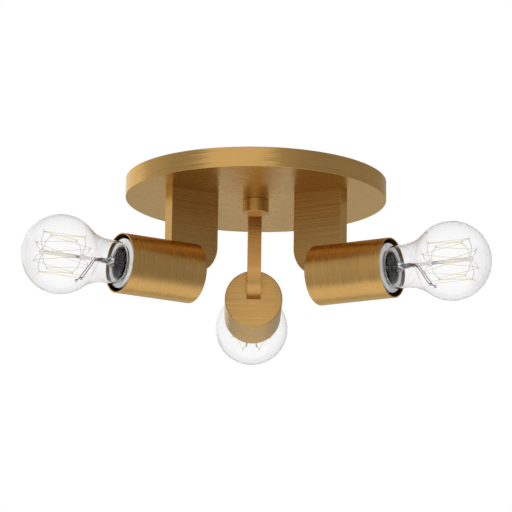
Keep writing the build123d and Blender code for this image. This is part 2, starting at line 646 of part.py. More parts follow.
def filament_points():
    """Zigzag round the cage: two corners at each hook, behind the wire that it hangs on."""
    behind = HOOK_LEAN - SUPPORT_D / 2 - FILAMENT_D / 2 - 3 * WIRE_GAP
    beside = SUPPORT_D / 2 + FILAMENT_D / 2 + 2 * WIRE_GAP
    lead_x = CAP_HUB_X + HOOK_LEAN
    points = [around(lead_x, CAGE_R, -90 + LEAD_IN_ANGLE)]
    for step, angle in enumerate(TIP_HOOKS):
        for sideways in (-beside, beside):
            points.append(around(TIP_HUB_X - behind, CAGE_R, angle, sideways))
        if step < len(CAP_HOOKS):
            for sideways in (-beside, beside):
                points.append(around(CAP_HUB_X + behind, CAGE_R, CAP_HOOKS[step], sideways))
    points.append(around(lead_x, CAGE_R, -90 - LEAD_IN_ANGLE))
    return points


def least_gap(points, spacing=0.5):
    """Least gap of the filament to itself, from points along it that are far apart by length."""
    samples = []
    travelled = 0.0
    for start, end in zip(points, points[1:]):
        run = math.dist(start, end)
        count = max(1, int(run / spacing))
        for k in range(count):
            share = k / count
            samples.append((travelled + run * share,
                            [a + (b - a) * share for a, b in zip(start, end)]))
        travelled += run
    return min(math.dist(p, q) - FILAMENT_D for i, (s, p) in enumerate(samples)
               for t, q in samples[i + 1:] if t - s > 4)


def lamp_filament():
    points = filament_points()
    bend = FILAMENT_D / 2 + WIRE_GAP
    path = FilletPolyline(*points, radius=[bend] * (len(points) - 2))
    start = Plane(origin=path @ 0, z_dir=path % 0)
    print(f"filament {path.length:.0f} long, least gap to itself {least_gap(points):.2f}")
    return sweep(start * Circle(FILAMENT_D / 2), path=path)


def lamp_lead_wires():
    """Two wires from the cap and the centre contact, through the press, to the filament's ends."""
    contact_end = LAMP_X + CONTACT_T + CONTACT_STEM_L
    cap_wall_y = CAP_D / 2 - CAP_WALL
    contact_start = contact_end + SOLDER_GAP
    from_contact = [(contact_start, 0, AXIS_Z), (contact_start + LEAD_IN_STRAIGHT, 0, AXIS_Z)]
    from_cap = [(CAP_END_X + along, inward - cap_wall_y, AXIS_Z)
                for along, inward in (LEAD_IN_FROM_CAP, LEAD_IN_ALONG_CAP)]
    hub_x = CAP_HUB_X + HOOK_LEAN
    wires = []
    for side, start in ((1, from_contact), (-1, from_cap)):
        points = start + [
            (CAP_RIM_X - 1, side * LEAD_IN_Y, AXIS_Z),
            (PRESS_END_X + LEAD_IN_PAST_PRESS, side * LEAD_IN_Y, AXIS_Z),
            around(hub_x - LEAD_IN_SET_BACK, LEAD_IN_R, -90 + side * LEAD_IN_ANGLE),
            around(hub_x + LEAD_IN_TIP[0], LEAD_IN_R + LEAD_IN_TIP[1], -90 + side * LEAD_IN_ANGLE)]
        wires.append(tube_along(points, list(LEAD_IN_BENDS), LEAD_IN_D))
    return wires


# --- leads from the terminal block to the sockets ------------------------------------------

# Hand-laid route on the canopy's floor: hole of the block, height, then points on the way.
# The right arm's leads mirror the left arm's, with live and neutral exchanged.
FLOOR_ROUTES = {
    ("back", 1): (-2, LOW_Z, [(-9.0, -36.0), (-12.5, 0.0), (-8.5, 36.0)]),
    ("back", -1): (1, LOW_Z, [(9.5, -35.0), (12.0, 2.0), (8.0, 37.0)]),
    ("left", 1): (-3, LOW_Z, [(-14.5, -41.0), (-31.0, -33.0)]),
    ("left", -1): (2, HIGH_Z, [(5.5, -39.0), (-10.0, -28.5), (-33.0, -25.5)]),
    ("right", 1): (-1, MIDDLE_Z, [(-2.5, -38.0), (10.0, -28.0), (33.5, -25.0)]),
    ("right", -1): (3, LOW_Z, [(14.5, -42.0), (31.5, -33.5)]),
}


def placed(point, angle):
    """A point of the arm's own frame, turned to its place round the fitting."""
    turn = math.radians(angle)
    x, y, z = point
    return (x * math.cos(turn) - y * math.sin(turn), x * math.sin(turn) + y * math.cos(turn), z)


def socket_lead(name, side):
    """Lead from its block hole, across the floor, down the arm and round to its rivet."""
    angle = ARMS[name]
    hole, height, way = FLOOR_ROUTES[name, side]
    block_x = BLOCK_PITCH * hole
    start = [(block_x, BLOCK_FRONT_Y - LEAD_INTO_BLOCK, BLOCK_HOLE_Z),
             (block_x, BLOCK_FRONT_Y + LEAD_STRAIGHT_OUT, BLOCK_HOLE_Z)]
    y_out = side * TERMINAL_OFFSET
    down = [
        (BORE_X, side * LEAD_PAIR_Y, TURN_Z),
        (BORE_X, side * LEAD_PAIR_Y, SIDE_BORE_Z),
        (BORE_X, y_out, SIDE_BORE_Z),
        (ARM_OUTER_R - LEAD_BEND_BEFORE_PLATE, y_out, AXIS_Z),
        (TERMINAL_X - WIRE_GAP, y_out, AXIS_Z)]
    points = start + [(x, y, height) for x, y in way] + [placed(p, angle) for p in down]
    radii = gentle_radii(points)
    turn_down = len(way) + 1
    radii[turn_down] = min(radii[turn_down], LEAD_TURN_R)
    return tube_along(points, radii, LEAD_D, (BLOCK_CORE_L, RIVET_CORE_L))


def earth_lead():
    """Green and yellow lead between the canopy's stud and the strap, a ring terminal on each end."""
    stud_x, stud_y = EARTH_AT
    low = FLOOR_Z + EARTH_RING_T / 2
    high = -STRAP_T - EARTH_RING_T / 2
    rings = []
    for x, y, z in ((stud_x, stud_y, low), (stud_x, 0, high)):
        ring = upright(z - EARTH_RING_T / 2, z + EARTH_RING_T / 2, EARTH_RING_D, x, y)
        rings.append(ring - upright(z - 1, z + 1, EARTH_SCREW_D + 2 * HOLE_CLEAR, x, y))
    reach = EARTH_RING_D / 2 + WIRE_GAP
    points = [
        (stud_x + reach, stud_y, low + LEAD_D / 2), (stud_x + 12, stud_y + 1, low + LEAD_D / 2),
        (stud_x + 17, stud_y + 8, (low + high) / 2), (stud_x + 12, 0.5, high - LEAD_D / 2),
        (stud_x + reach, 0, high - LEAD_D / 2)]
    return [tube_along(points, gentle_radii(points), LEAD_D)] + rings


def earth_fasteners():
    """Stud and nut on the canopy's floor, and the screw up into the strap."""
    x, y = EARTH_AT
    nut_z = FLOOR_Z + EARTH_RING_T
    stud = upright(FLOOR_Z, FLOOR_Z + EARTH_STUD_L, EARTH_SCREW_D, x, y)
    nut = Pos(x, y, nut_z) * extrude(RegularPolygon(EARTH_NUT_D / 2, 6), EARTH_NUT_H)
    nut -= upright(nut_z, nut_z + EARTH_NUT_H, EARTH_SCREW_D + 2 * SCREW_FIT, x, y)
    head_z = -STRAP_T - EARTH_RING_T
    screw = upright(head_z, -SLOT_CLEAR, EARTH_SCREW_D, x, 0)
    screw += upright(head_z - EARTH_HEAD_H, head_z, EARTH_NUT_D, x, 0)
    return [stud, nut, screw]


# --- writing the nodes ---------------------------------------------------------------------

ARM_PIECES = {
    "arm": arm, "cup": cup, "socket_body": socket_body, "screw_shell": screw_shell,
    "contact_tongue": contact_tongue, "socket_bracket": socket_bracket,
    "lamp_glass": lamp_glass, "lamp_cap": lamp_cap, "lamp_insulator": lamp_insulator,
    "lamp_contact": lamp_contact, "lamp_stem": lamp_stem, "lamp_supports": lamp_supports,
    "lamp_filament": lamp_filament, "lamp_lead_wires": lamp_lead_wires,
}
SHARED_PIECES = {
    "canopy": canopy, "mounting_strap": mounting_strap, "nipple": nipple, "locknut": locknut,
    "knob": knob, "knob_washer": knob_washer, "terminal_block": terminal_block,
    "terminal_screws": terminal_screws, "earth_lead": earth_lead,
    "earth_fasteners": earth_fasteners,
}


def as_list(shape):
    """The separate solids of a piece or of a list of pieces."""
    if isinstance(shape, list):
        return [solid for item in shape for solid in item.solids()]
    return list(shape.solids())


def write(name, shape):
    solids = as_list(shape)
    node = solids[0] if len(solids) == 1 else Compound(children=solids)
    node.label = name
    export_step(node, f"parts/{name}.step")


os.makedirs("parts", exist_ok=True)
for piece_name, make in SHARED_PIECES.items():
    write(piece_name, make())
for piece_name, make in ARM_PIECES.items():
    solids = as_list(make())
    for arm_name, arm_angle in ARMS.items():
        write(f"{arm_name}_{piece_name}", [Rot(0, 0, arm_angle) * solid for solid in solids])
for node_name, per_arm in (("arm_screws", arm_screws), ("arm_washers", arm_washers)):
    write(node_name, [piece for arm_angle in ARMS.values() for piece in per_arm(arm_angle)])
write("wire_bushings", [wire_bushing(arm_angle) for arm_angle in ARMS.values()])
for node_name, per_arm in (("bracket_screws", bracket_screws), ("socket_screws", socket_screws),
                           ("socket_rivets", socket_rivets)):
    pieces = per_arm()
    write(node_name, [Rot(0, 0, arm_angle) * piece for arm_angle in ARMS.values()
                      for piece in pieces])
write("leads_live", [socket_lead(arm_name, 1) for arm_name in ARMS])
write("leads_neutral", [socket_lead(arm_name, -1) for arm_name in ARMS])
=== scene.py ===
import bmesh
import bpy
import json
import math
from mathutils import Matrix, Vector


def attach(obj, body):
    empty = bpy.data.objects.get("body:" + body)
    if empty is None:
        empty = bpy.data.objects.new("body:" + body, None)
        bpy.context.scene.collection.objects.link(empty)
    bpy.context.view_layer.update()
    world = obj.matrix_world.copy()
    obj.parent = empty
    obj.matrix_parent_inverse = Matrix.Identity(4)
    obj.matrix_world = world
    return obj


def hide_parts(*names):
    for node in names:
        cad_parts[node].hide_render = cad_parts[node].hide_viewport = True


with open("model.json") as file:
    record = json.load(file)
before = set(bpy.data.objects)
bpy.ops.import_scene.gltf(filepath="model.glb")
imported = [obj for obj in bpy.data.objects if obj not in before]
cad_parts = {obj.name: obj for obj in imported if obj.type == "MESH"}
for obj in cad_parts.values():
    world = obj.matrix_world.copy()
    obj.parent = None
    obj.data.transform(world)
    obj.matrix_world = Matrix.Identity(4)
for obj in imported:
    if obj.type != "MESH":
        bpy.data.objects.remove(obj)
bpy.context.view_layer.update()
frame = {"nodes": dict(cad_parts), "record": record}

# --- Mounting strap, screws and steel fastenings ----------------------------------------------
# A stamped steel strap is screwed to the ceiling box and carries everything else. It is zinc
# plated, like the washers, the pan head screws and the T plates that hold the sockets.


def put(tree, socket, value):
    """Sets an input to a number, or links it to another node's output."""
    if isinstance(value, bpy.types.NodeSocket):
        tree.links.new(value, socket)
    else:
        socket.default_value = value


def node(tree, kind, inputs=(), **settings):
    """Adds a shader node with its inputs and settings, and returns its outputs."""
    made = tree.nodes.new("ShaderNode" + kind)
    for name, value in settings.items():
        setattr(made, name, value)
    for name, value in dict(inputs).items():
        put(tree, made.inputs[name], value)
    return made.outputs


def reckon(tree, operation, a, b=0.0, c=0.0):
    """Result of a maths operation on numbers or outputs."""
    return node(tree, "Math", {0: a, 1: b, 2: c}, operation=operation)["Value"]


def mixed(tree, kind, factor, a, b, **settings):
    """Mix of two floats, vectors or colours."""
    made = tree.nodes.new("ShaderNodeMix")
    made.data_type = kind
    ending = {"FLOAT": "_Float", "VECTOR": "_Vector", "RGBA": "_Color"}[kind]
    for name, value in settings.items():
        setattr(made, name, value)
    for socket in made.inputs:
        for start, value in (("Factor_Float", factor), ("A" + ending, a), ("B" + ending, b)):
            if socket.identifier == start:
                put(tree, socket, value)
    return next(socket for socket in made.outputs if socket.identifier == "Result" + ending)


def between(tree, value, low, high, start=0.3, end=0.7):
    """Value from start to end, as a number from low to high. Noise fills about 0.3 to 0.7."""
    return node(tree, "MapRange", {"Value": value, "From Min": start, "From Max": end,
                                   "To Min": low, "To Max": high})["Result"]


def grain(tree, cells, turn=0.0, detail=4.0, roughness=0.6, off=(0, 0, 0)):
    """Noise whose cells have these sizes in metres along X, Y and Z, turned about Z."""
    laid = node(tree, "Mapping", {"Vector": node(tree, "TexCoord")["Object"], "Location": off,
                                  "Rotation": (0, 0, turn), "Scale": cells},
                vector_type="TEXTURE")["Vector"]
    return node(tree, "TexNoise", {"Vector": laid, "Scale": 1.0, "Detail": detail,
                                   "Roughness": roughness})["Fac"]


def finish_of(name, **sockets):
    """New material with these values on its main shader: the material, its tree, the shader."""
    material = bpy.data.materials.new(name)
    material.use_nodes = True
    shader = material.node_tree.nodes["Principled BSDF"]
    for socket, value in sockets.items():
        shader.inputs[socket.replace("_", " ")].default_value = value
    return material, material.node_tree, shader


def shaded(tree, colour, tone):
    """A colour made lighter and darker by a tone about 1."""
    return mixed(tree, "RGBA", 1.0, (*colour, 1), tone, blend_type="MULTIPLY")


def bumped(tree, height, depth, **others):
    """Normal of a surface with this height pattern, depth metres deep."""
    return node(tree, "Bump", {"Height": height, "Strength": 1.0, "Distance": depth,
                               **others})["Normal"]


def dress(material, *names):
    """Gives CAD nodes their finish."""
    for name in names:
        for slot in frame["nodes"][name].material_slots:
            slot.material = material


zinc, tree, shader = finish_of("zinc plated steel", Metallic=1.0)
spangle = node(tree, "TexVoronoi", {"Vector": node(tree, "TexCoord")["Object"],
                                    "Scale": 420.0})["Color"]
spangle = node(tree, "SeparateColor", {"Color": spangle})["Red"]
cloud = grain(tree, (0.006, 0.006, 0.006))
tone = reckon(tree, "ADD", between(tree, spangle, 0.9, 0.98, 0, 1),
              between(tree, cloud, -0.1, 0.12))
put(tree, shader.inputs["Base Color"], shaded(tree, (0.60, 0.61, 0.63), tone))
put(tree, shader.inputs["Roughness"], between(tree, cloud, 0.3, 0.46))
put(tree, shader.inputs["Normal"], bumped(tree, grain(tree, (0.0004, 0.0004, 0.0004)), 0.00001))
dress(zinc, "mounting_strap", "locknut", "arm_screws", "arm_washers", "bracket_screws",
      "socket_screws", "terminal_screws", "back_socket_bracket", "left_socket_bracket",
      "right_socket_bracket")


# --- Nipple -----------------------------------------------------------------------------------
# A short threaded steel pipe stands down from the strap and is held by its locknut. Its thread
# is cut, and the knob turns on it.

# Shapes are given in millimetres and made in metres. Edges sharper than this angle stay sharp.
MM = 0.001
SHARP = 35
body_of = {part: body for body, parts in frame["record"]["behaviour"]["bodies"].items()
           for part in parts}


def placed(bm, name, materials):
    """Object in the scene made from a mesh that is ready."""
    mesh = bpy.data.meshes.new(name)
    bm.to_mesh(mesh)
    bm.free()
    for material in materials:
        mesh.materials.append(material)
    made = bpy.data.objects.new(name, mesh)
    bpy.context.scene.collection.objects.link(made)
    return made


def finished(bm, name, materials, node_name, smooth_below=SHARP, stands_for=True):
    """Piece that is smooth except over sharp edges, and stands for a CAD node or rides with it."""
    for face in bm.faces:
        face.smooth = True
    for edge in bm.edges:
        edge.smooth = (len(edge.link_faces) == 2
                       and edge.calc_face_angle() < math.radians(smooth_below))
    piece = placed(bm, name, materials)
    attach(piece, body_of[node_name])
    if stands_for:
        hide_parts(node_name)
    return piece


def turned(outline, centre, axis, steps):
    """Closed mesh turned about an axis from an outline of points in the plane y = 0."""
    bm = bmesh.new()
    verts = [bm.verts.new(point) for point in outline]
    edges = [bm.edges.new(pair) for pair in zip(verts, verts[1:] + verts[:1])]
    bmesh.ops.spin(bm, geom=verts + edges, cent=centre, axis=axis, angle=2 * math.pi,
                   steps=steps, use_merge=True)
    bmesh.ops.remove_doubles(bm, verts=bm.verts, dist=1e-7)
    bmesh.ops.recalc_face_normals(bm, faces=bm.faces)
    return bm


def thread(bm, along, centre, pitch, depth, start, end, fade, inside=0.0):
    """Presses a right-hand thread, in millimetres, into the wall round an axis.

    Its roots go inwards by its depth, and it fades out at both ends. The wall inside a given
    radius stays plain.
    """
    across = [(1, 2), (2, 0), (0, 1)][along]
    for vert in bm.verts:
        place = vert.co - Vector(centre)
        sides = Vector((place[across[0]], place[across[1]]))
        run = vert.co[along] / MM
        share = min(1.0, max(0.0, min(run - start, end - run) / fade))
        if share > 0 and sides.length > MM * inside:
            angle = math.atan2(sides.y, sides.x)
            wave = (1 - math.cos(2 * math.pi * run / pitch - angle)) / 2
            sides *= 1 - MM * depth * share * wave / sides.length
            vert.co[across[0]] = centre[across[0]] + sides.x
            vert.co[across[1]] = centre[across[1]] + sides.y


def stepped(start, end, count):
    """Numbers from start to end in even steps."""
    return [start + (end - start) * k / count for k in range(count + 1)]


NIPPLE_R, NIPPLE_BORE_R, NIPPLE_TOP, NIPPLE_LOW = 4.85, 3.25, -0.3, -22.3
NIPPLE_PITCH, NIPPLE_CHAMFER_W, NIPPLE_CHAMFER_H = 0.9407, 0.4, 0.3
rows = stepped(NIPPLE_LOW + NIPPLE_CHAMFER_H, NIPPLE_TOP - NIPPLE_CHAMFER_H, 160)
bm = turned([(MM * r, 0, MM * z) for r, z in
             [(NIPPLE_BORE_R, NIPPLE_TOP), (NIPPLE_BORE_R, NIPPLE_LOW),
              (NIPPLE_R - NIPPLE_CHAMFER_W, NIPPLE_LOW), *[(NIPPLE_R, z) for z in rows],
              (NIPPLE_R - NIPPLE_CHAMFER_W, NIPPLE_TOP)]],
            (0, 0, 0), (0, 0, 1), 40)
thread(bm, 2, (0, 0, 0), NIPPLE_PITCH, depth=0.4, start=NIPPLE_LOW, end=NIPPLE_TOP, fade=0.6,
       inside=4.5)
finished(bm, "nipple_threaded", [zinc], "nipple", smooth_below=50)


# --- Canopy -----------------------------------------------------------------------------------
# The canopy is a shallow round pan of spun brass that covers the ceiling box, satin brushed and
# lacquered. Its rim was brushed while it turned, and its flat underside in straight strokes.

# Materials read places in metres. The edge colour is the one that metal takes at a grazing look.
BRASS = (0.615, 0.357, 0.102)
BRASS_FLAT = (0.605, 0.335, 0.094)
BRASS_EDGE = (1.0, 0.87, 0.50, 1)
STROKE_DEPTH = 0.000003
UNDERSIDE_TURN = math.radians(40)
CANOPY_FLOOR_Z, CANOPY_INNER_R = -0.0144, 0.1008


def along(tree, direction, coordinates="Object"):
    """How far a point lies, or its normal points, along a direction."""
    return node(tree, "VectorMath", {0: node(tree, "TexCoord")[coordinates], 1: direction},
                operation="DOT_PRODUCT")["Value"]


def facing(tree, direction):
    """1 on faces less than 40 degrees off a direction or its opposite, 0 beyond 49 degrees."""
    return between(tree, reckon(tree, "ABSOLUTE", along(tree, direction, "Normal")),
                   0.0, 1.0, 0.66, 0.76)


def reach(tree):
    """Distance from the upright line through the middle."""
    spot = node(tree, "SeparateXYZ", {"Vector": node(tree, "TexCoord")["Object"]})
    flat = node(tree, "CombineXYZ", {"X": spot["X"], "Y": spot["Y"]})["Vector"]
    return node(tree, "VectorMath", {0: flat}, operation="LENGTH")["Value"]


def streaks(tree, axis, width, length, turn):
    """Straight brush strokes, from -1 to 1, that cross an axis of a frame turned about Z."""
    lines, patches = [0.5] * 3, [length] * 3
    lines[axis], patches[axis] = width, 3 * width
    line = between(tree, grain(tree, lines, turn, detail=1.0), -1.0, 1.0, 0.41, 0.59)
    patch = between(tree, grain(tree, patches, turn, detail=1.0, off=(3, 1, 2)), 0.25, 1.2)
    return reckon(tree, "MULTIPLY", line, patch)


def brushed_brass(name, axis, across, end_facing, end_axis, end_across, turn=0.0, width=0.0012,
                  length=0.012, brass=BRASS, shade=0.97, swing=0.10, tip=0.05, roughness=0.31,
                  end_turn=0.0, end_width=0.0010, end_length=0.016, end_brass=BRASS,
                  end_shade=0.97, end_swing=0.07, end_tip=0.03):
    """Brass brushed one way on its sides and another on its ends.

    Axis is the one that the strokes cross, and across the same as a direction over the surface,
    in which the brushed metal spreads its gloss. Width and length are the strokes' own. Swing is
    how much lighter and darker they are, and tip how far they tip the reflections. Shade and end
    shade scale the colour of the sides and of the ends: painted light and shade, so that one
    looks lighter or darker as the light falls on it.
    """
    material, tree, shader = finish_of(name, Metallic=1.0, Anisotropic=0.5,
                                       Specular_Tint=BRASS_EDGE, Coat_Weight=0.5,
                                       Coat_Roughness=0.25)
    ends = facing(tree, end_facing)
    strokes = mixed(tree, "FLOAT", ends, streaks(tree, axis, width, length, turn),
                    streaks(tree, end_axis, end_width, end_length, end_turn))
    # Sides and ends each take their own brightness: painted light and shade.
    painted_light = between(tree, ends, shade, end_shade, 0, 1)
    colour = mixed(tree, "RGBA", ends, (*brass, 1), (*end_brass, 1))
    swing = between(tree, ends, swing, end_swing, 0, 1)
    tip = between(tree, ends, tip, end_tip, 0, 1)
    tangent = mixed(tree, "VECTOR", ends, across, end_across)
    cloud = grain(tree, (0.03, 0.03, 0.03), detail=2.0)
    tone = reckon(tree, "MULTIPLY_ADD", strokes, swing, 1.0)
    tone = reckon(tree, "MULTIPLY", tone, between(tree, cloud, 0.97, 1.03))
    tone = reckon(tree, "MULTIPLY", tone, painted_light)
    put(tree, shader.inputs["Base Color"],
        mixed(tree, "RGBA", 1.0, colour, tone, blend_type="MULTIPLY"))
    put(tree, shader.inputs["Roughness"],
        between(tree, strokes, roughness - 0.05, roughness + 0.05, -1, 1))
    put(tree, shader.inputs["Tangent"], tangent)

    # The strokes also tip the surface a little along themselves, so reflections end raggedly.
    normal = node(tree, "NewGeometry")["Normal"]
    lengthwise = node(tree, "VectorMath", {0: tangent, 1: normal},
                      operation="CROSS_PRODUCT")["Vector"]
    lean = reckon(tree, "MULTIPLY", strokes, tip)
    tipped = node(tree, "VectorMath", {0: lengthwise, "Scale": lean}, operation="SCALE")["Vector"]
    tipped = node(tree, "VectorMath", {0: normal, 1: tipped}, operation="ADD")["Vector"]
    tipped = node(tree, "VectorMath", {0: tipped}, operation="NORMALIZE")["Vector"]
    put(tree, shader.inputs["Normal"], bumped(tree, strokes, STROKE_DEPTH, Normal=tipped))
    return material


def shade_painted_inside(tree, inside, share, roughness):
    """Dulls the brass where a mask marks a hollow inner side, and darkens it there as painted
    shade.
    """
    inputs = tree.nodes["Principled BSDF"].inputs
    colour, gloss = inputs["Base Color"], inputs["Roughness"]
    bright, bright_gloss = colour.links[0].from_socket, gloss.links[0].from_socket
    painted_shade_colour = mixed(tree, "RGBA", 1.0, bright, (share, share * 0.9, share * 0.8, 1),
                 blend_type="MULTIPLY")
    put(tree, colour, mixed(tree, "RGBA", inside, bright, painted_shade_colour))
    put(tree, gloss, mixed(tree, "FLOAT", inside, bright_gloss, roughness))


def softened(cad_node, width, material):
    """Copy of a CAD node, merged and with its sharp edges eased by a width in millimetres."""
    bm = bmesh.new()
    bm.from_mesh(frame["nodes"][cad_node].data)
    bmesh.ops.remove_doubles(bm, verts=bm.verts, dist=1e-6)
    bmesh.ops.dissolve_limit(bm, angle_limit=math.radians(0.5), verts=bm.verts, edges=bm.edges)
    sharp = [edge for edge in bm.edges if len(edge.link_faces) == 2
             and edge.calc_face_angle() > math.radians(SHARP)]
    bmesh.ops.bevel(bm, geom=sharp, offset=MM * width, segments=2, profile=0.5,
                    affect="EDGES", material=-1, clamp_overlap=True)
    piece = finished(bm, cad_node + "_eased", [material], cad_node)
    weighted = piece.modifiers.new("flat faces stay flat", "WEIGHTED_NORMAL")
    weighted.keep_sharp = True


across_underside = (-math.sin(UNDERSIDE_TURN), math.cos(UNDERSIDE_TURN), 0)
# The flat underside is painted darker than the rim, as shade under the pan.
canopy_brass = brushed_brass(
    "canopy brass", axis=2, across=(0, 0, 1), length=0.02, shade=1.0, swing=0.07, tip=0.05,
    end_facing=(0, 0, 1), end_axis=1, end_across=across_underside, end_turn=UNDERSIDE_TURN,
    end_width=0.0014, end_brass=BRASS_FLAT, end_shade=0.81, end_swing=0.045, end_tip=0.01)
tree = canopy_brass.node_tree
# Inside the pan the brass is dulled and darkened: painted shade.
inside = reckon(tree, "MULTIPLY",
                reckon(tree, "GREATER_THAN", along(tree, (0, 0, 1)), CANOPY_FLOOR_Z),
                reckon(tree, "LESS_THAN", reach(tree), CANOPY_INNER_R))
shade_painted_inside(tree, inside, share=0.75, roughness=0.5)
softened("canopy", 0.45, canopy_brass)


# --- Knob and its washer ----------------------------------------------------------------------
# The knob is a solid turned brass nut with an eased lower edge. It screws onto the nipple and
# clamps the canopy up against the ceiling, with a red fibre washer sunk in its top.


def patterned(name, colour, cells, tones, gloss, detail=4.0, depth=0.0, **sockets):
    """Finish whose colour and roughness follow one grain, and its surface too, if it is deep.

    Cells are the grain's sizes in metres, tones what it multiplies the colour by, and gloss the
    roughness that it gives.
    """
    material, tree, shader = finish_of(name, **sockets)
    pattern = grain(tree, cells, detail=detail)
    put(tree, shader.inputs["Base Color"], shaded(tree, colour, between(tree, pattern, *tones)))
    put(tree, shader.inputs["Roughness"], between(tree, pattern, *gloss))
    if depth:
        put(tree, shader.inputs["Normal"], bumped(tree, pattern, depth))
    return material


knob_brass = brushed_brass(
    "knob brass", axis=2, across=(0, 0, 1), width=0.0007, roughness=0.42,
    end_facing=(0, 0, 1), end_axis=1, end_across=across_underside, end_turn=UNDERSIDE_TURN,
    end_width=0.0009)
softened("knob", 0.08, knob_brass)

fibre = patterned("red fibre", (0.30, 0.085, 0.06), (0.0003, 0.0012, 0.0003), (0.75, 1.25),
                  (0.7, 0.9), detail=6.0, depth=0.00003, Specular_IOR_Level=0.25)
dress(fibre, "knob_washer")


# --- Arms -------------------------------------------------------------------------------------
# Three flat brass bars stand under the canopy, each with one rounded lower corner. They are cut
# from thick bar, brushed in level strokes, and held by screws from inside the canopy.

ARMS = {"back": math.radians(90), "left": math.radians(210), "right": math.radians(330)}

for arm, turn in ARMS.items():
    edge_axis = (math.cos(turn), math.sin(turn), 0)
    # The broad sides are painted darker than the edges, as shade for how the light falls on them.
    arm_brass = brushed_brass(
        arm + " arm brass", axis=2, across=(0, 0, 1), length=0.02, brass=BRASS_FLAT, shade=0.85,
        swing=0.10, tip=0.015, roughness=0.29, end_facing=edge_axis, end_axis=2,
        end_across=(0, 0, 1), end_width=0.0009, end_brass=BRASS_FLAT, end_shade=0.98)
    softened(arm + "_arm", 0.4, arm_brass)


# --- Wire bushings and terminal block ---------------------------------------------------------
# Moulded nylon: a black bushing lines each wire hole in the canopy, and a white block joins the
# house wires to the leads of the three sockets.

for name, colour, names in (("black nylon", (0.022, 0.022, 0.024), ["wire_bushings"]),
                            ("white nylon", (0.74, 0.73, 0.69), ["terminal_block"])):
    nylon, tree, shader = finish_of(name, Specular_IOR_Level=0.4)
    pebble = grain(tree, (0.00035, 0.00035, 0.00035), detail=2.0)
    flow = grain(tree, (0.012, 0.012, 0.004), detail=2.0)
    put(tree, shader.inputs["Base Color"], shaded(tree, colour, between(tree, flow, 0.93, 1.05)))
    put(tree, shader.inputs["Roughness"], between(tree, pebble, 0.42, 0.58))
    put(tree, shader.inputs["Normal"], bumped(tree, pebble, 0.00002))
    dress(nylon, *names)


# --- Leads ------------------------------------------------------------------------------------
# Two stranded leads in a soft sleeve run to each socket, one black and one white. They lie on
# the canopy's floor and go down inside the arms to the rivets behind the sockets.

for name, colour, names in (("black sleeve", (0.020, 0.020, 0.022), ["leads_live"]),
                            ("white sleeve", (0.76, 0.76, 0.73), ["leads_neutral"])):
    sleeve, tree, shader = finish_of(name, Specular_IOR_Level=0.5)
    ripple = grain(tree, (0.0016, 0.0016, 0.0016), detail=3.0)
    scuff = grain(tree, (0.008, 0.008, 0.008), detail=5.0)
    put(tree, shader.inputs["Base Color"], shaded(tree, colour, between(tree, scuff, 0.92, 1.06)))
    put(tree, shader.inputs["Roughness"], between(tree, scuff, 0.34, 0.52))
    put(tree, shader.inputs["Normal"], bumped(tree, ripple, 0.00004))
    dress(sleeve, *names)


# --- Earth lead and its fasteners -------------------------------------------------------------
# A green lead with two yellow stripes bonds the canopy's stud to the strap. Tinned ring
# terminals are crimped on its ends and held by a brass nut and screw.

STRIPE_CENTRE, RING_END = (0.030, -0.008, -0.0087), 0.03005
earth, tree, shader = finish_of("earth lead", Specular_IOR_Level=0.5)
place = node(tree, "TexCoord")["Object"]
outward = node(tree, "VectorMath", {0: place, 1: STRIPE_CENTRE}, operation="SUBTRACT")["Vector"]
outward = node(tree, "VectorMath", {0: outward}, operation="NORMALIZE")["Vector"]
side = node(tree, "VectorMath", {0: outward, 1: node(tree, "TexCoord")["Normal"]},
            operation="DOT_PRODUCT")["Value"]
stripe = between(tree, reckon(tree, "ABSOLUTE", side), 1.0, 0.0, 0.42, 0.48)
ring = reckon(tree, "LESS_THAN", node(tree, "SeparateXYZ", {"Vector": place})["X"], RING_END)
scuff = grain(tree, (0.006, 0.006, 0.006))
sleeve = mixed(tree, "RGBA", stripe, (0.022, 0.17, 0.04, 1), (0.72, 0.55, 0.03, 1))
colour = mixed(tree, "RGBA", ring, sleeve, (0.66, 0.65, 0.62, 1))
put(tree, shader.inputs["Base Color"],
    mixed(tree, "RGBA", 1.0, colour, between(tree, scuff, 0.9, 1.08), blend_type="MULTIPLY"))
put(tree, shader.inputs["Metallic"], ring)
put(tree, shader.inputs["Roughness"], between(tree, scuff, 0.32, 0.5))
dress(earth, "earth_lead")

contact_brass, tree, shader = finish_of("contact brass", Metallic=1.0)
tarnish = grain(tree, (0.003, 0.003, 0.003), detail=5.0)
put(tree, shader.inputs["Base Color"], shaded(tree, (0.72, 0.53, 0.24),
                                              between(tree, tarnish, 0.82, 1.08)))
put(tree, shader.inputs["Roughness"], between(tree, tarnish, 0.2, 0.38))
put(tree, shader.inputs["Normal"], bumped(tree, grain(tree, (0.0004, 0.0004, 0.0004)), 0.000008))
dress(contact_brass, "earth_fasteners", "socket_rivets", "back_contact_tongue",
      "left_contact_tongue", "right_contact_tongue")


# --- Cups -------------------------------------------------------------------------------------
# Each cup is a drawn brass tube with a closed inner end, slotted to straddle its arm. It was
# brushed round and round on a lathe, and its end in level strokes. Inside, its brass is
# painted dark as shade.

# The lamps' axes lie at this height. The bore's radius and floor are taken a hair inside the
# wall, so that its own surface counts as inside. All three are in metres.
AXIS_Z = -0.0812
CUP_BORE_R, CUP_FLOOR_X = 0.0221, 0.056


def off_axis(tree, turn):
    """Distance from the axis of an arm's cup and lamp."""
    laid = node(tree, "Mapping", {"Vector": node(tree, "TexCoord")["Object"],
                                  "Location": (0, 0, AXIS_Z), "Rotation": (0, 0, turn)},
                vector_type="TEXTURE")["Vector"]
    spot = node(tree, "SeparateXYZ", {"Vector": laid})
    flat = node(tree, "CombineXYZ", {"X": spot["Y"], "Y": spot["Z"]})["Vector"]
    return node(tree, "VectorMath", {0: flat}, operation="LENGTH")["Value"]


